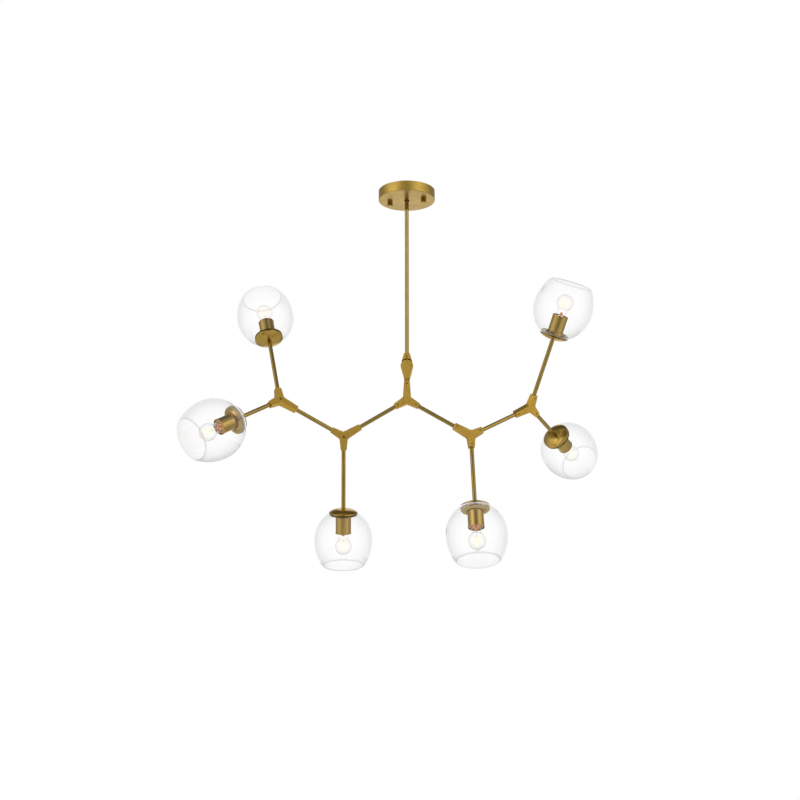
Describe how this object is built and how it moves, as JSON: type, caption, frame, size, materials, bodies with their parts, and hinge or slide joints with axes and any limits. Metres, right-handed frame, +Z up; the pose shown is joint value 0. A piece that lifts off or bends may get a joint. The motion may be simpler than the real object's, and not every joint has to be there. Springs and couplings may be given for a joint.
{
  "type": "linear chandelier",
  "caption": "Branching brass chandelier: canopy, downrod and tilting knuckle carry three-legged hubs and tubes that end in globe lamps with open clear glass shades.",
  "frame": {"origin": "centre of the ceiling screw pattern, on the ceiling plane and the downrod's axis", "axes": "+Z up; +X along the fixture; -Y faces the room side that shows the fronts of the centre hub and its screws"},
  "size_m": [1.0538, 0.5849, 1.001],
  "materials": {
    "canopy_brass": "brushed",
    "bracket_steel": "plain",
    "nut_brass": "ribbed, satin",
    "bushing_black": "matte",
    "screw_brass": "satin",
    "tube_brass": "satin",
    "casting_brass": "satin",
    "cap_brass": "satin",
    "cup_brass": "satin",
    "shade_glass": "clear, polished",
    "bulb_glass": "clear, polished",
    "holder_porcelain": "glazed, lit from the bulb"
  },
  "bodies": {
    "canopy_group": {"canopy": "canopy_brass", "crossbar": "bracket_steel", "canopy_fasteners": "nut_brass", "rod_bushing": "bushing_black"},
    "rod_group": {"downrod": "tube_brass", "knuckle_upper": "casting_brass", "rod_fasteners": "screw_brass"},
    "center_group": {"knuckle_lower": "casting_brass", "hub_center": "casting_brass", "hub_cover_center": "casting_brass", "hub_screws_center": "screw_brass", "inner_arms": "tube_brass"},
    "lower_left_branch": {"hub_lower_left": "casting_brass", "hub_cover_lower_left": "casting_brass", "hub_screws_lower_left": "screw_brass", "outer_arm_left": "tube_brass", "lamp_arm_bottom_left": "tube_brass", "cap_bottom_left": "cap_brass", "shade_bottom_left": "shade_glass", "socket_cup_bottom_left": "cup_brass", "lampholder_bottom_left": "holder_porcelain"},
    "upper_left_branch": {"hub_upper_left": "casting_brass", "hub_cover_upper_left": "casting_brass", "hub_screws_upper_left": "screw_brass", "lamp_arm_top_left": "tube_brass", "cap_top_left": "cap_brass", "shade_top_left": "shade_glass", "socket_cup_top_left": "cup_brass", "lamp_arm_far_left": "tube_brass", "cap_far_left": "cap_brass", "shade_far_left": "shade_glass", "socket_cup_far_left": "cup_brass", "lampholder_upper_left": "holder_porcelain"},
    "lower_right_branch": {"hub_lower_right": "casting_brass", "hub_cover_lower_right": "casting_brass", "hub_screws_lower_right": "screw_brass", "outer_arm_right": "tube_brass", "lamp_arm_bottom_right": "tube_brass", "cap_bottom_right": "cap_brass", "shade_bottom_right": "shade_glass", "socket_cup_bottom_right": "cup_brass", "lampholder_bottom_right": "holder_porcelain"},
    "upper_right_branch": {"hub_upper_right": "casting_brass", "hub_cover_upper_right": "casting_brass", "hub_screws_upper_right": "screw_brass", "lamp_arm_top_right": "tube_brass", "cap_top_right": "cap_brass", "shade_top_right": "shade_glass", "socket_cup_top_right": "cup_brass", "lamp_arm_far_right": "tube_brass", "cap_far_right": "cap_brass", "shade_far_right": "shade_glass", "socket_cup_far_right": "cup_brass", "lampholder_upper_right": "holder_porcelain"},
    "bulb_far_left": {"bulb_far_left": "bulb_glass"},
    "bulb_top_left": {"bulb_top_left": "bulb_glass"},
    "bulb_bottom_left": {"bulb_bottom_left": "bulb_glass"},
    "bulb_bottom_right": {"bulb_bottom_right": "bulb_glass"},
    "bulb_top_right": {"bulb_top_right": "bulb_glass"},
    "bulb_far_right": {"bulb_far_right": "bulb_glass"}
  },
  "joints": [
    {"name": "rod_swivel", "type": "hinge", "parent": "canopy_group", "child": "rod_group", "pos_m": [0, 0, -0.026], "axis": [0, 0, 1], "range_deg": [-170, 170]},
    {"name": "knuckle_tilt", "type": "hinge", "parent": "rod_group", "child": "center_group", "pos_m": [0, 0, -0.478], "axis": [0, -1, 0], "range_deg": [-45, 45]},
    {"name": "lower_left_arm_turn", "type": "hinge", "parent": "center_group", "child": "lower_left_branch", "pos_m": [-0.16281, 0, -0.661], "axis": [-0.866, 0, -0.5], "range_deg": [-90, 90]},
    {"name": "upper_left_arm_turn", "type": "hinge", "parent": "lower_left_branch", "child": "upper_left_branch", "pos_m": [-0.32119, -0.05301, -0.57468], "axis": [-0.8424, -0.282, 0.4591], "range_deg": [-90, 90]},
    {"name": "lower_right_arm_turn", "type": "hinge", "parent": "center_group", "child": "lower_right_branch", "pos_m": [0.16281, 0, -0.661], "axis": [0.866, 0, -0.5], "range_deg": [-90, 90]},
    {"name": "upper_right_arm_turn", "type": "hinge", "parent": "lower_right_branch", "child": "upper_right_branch", "pos_m": [0.31915, 0.06362, -0.57821], "axis": [0.8316, 0.3384, 0.4404], "range_deg": [-90, 90]},
    {"name": "bulb_far_left_unscrew", "type": "hinge", "parent": "upper_left_branch", "child": "bulb_far_left", "pos_m": [-0.43548, -0.17316, -0.6567], "axis": [-0.6178, -0.6494, -0.4433], "range_deg": [0, 360]},
    {"name": "bulb_top_left_unscrew", "type": "hinge", "parent": "upper_left_branch", "child": "bulb_top_left", "pos_m": [-0.37511, 0.03519, -0.35808], "axis": [-0.2246, 0.3675, 0.9025], "range_deg": [0, 360]},
    {"name": "bulb_bottom_left_unscrew", "type": "hinge", "parent": "lower_left_branch", "child": "bulb_bottom_left", "pos_m": [-0.16848, 0.06767, -0.89119], "axis": [-0.0236, 0.282, -0.9591], "range_deg": [0, 360]},
    {"name": "bulb_bottom_right_unscrew", "type": "hinge", "parent": "lower_right_branch", "child": "bulb_bottom_right", "pos_m": [0.17107, -0.08121, -0.88669], "axis": [0.0344, -0.3384, -0.9404], "range_deg": [0, 360]},
    {"name": "bulb_top_right_unscrew", "type": "hinge", "parent": "upper_right_branch", "child": "bulb_top_right", "pos_m": [0.39121, -0.03045, -0.3695], "axis": [0.3002, -0.392, 0.8696], "range_deg": [0, 360]},
    {"name": "bulb_far_right_unscrew", "type": "hinge", "parent": "upper_right_branch", "child": "bulb_far_right", "pos_m": [0.41746, 0.19873, -0.65762], "axis": [0.5314, 0.7303, -0.4292], "range_deg": [0, 360]}
  ]
}
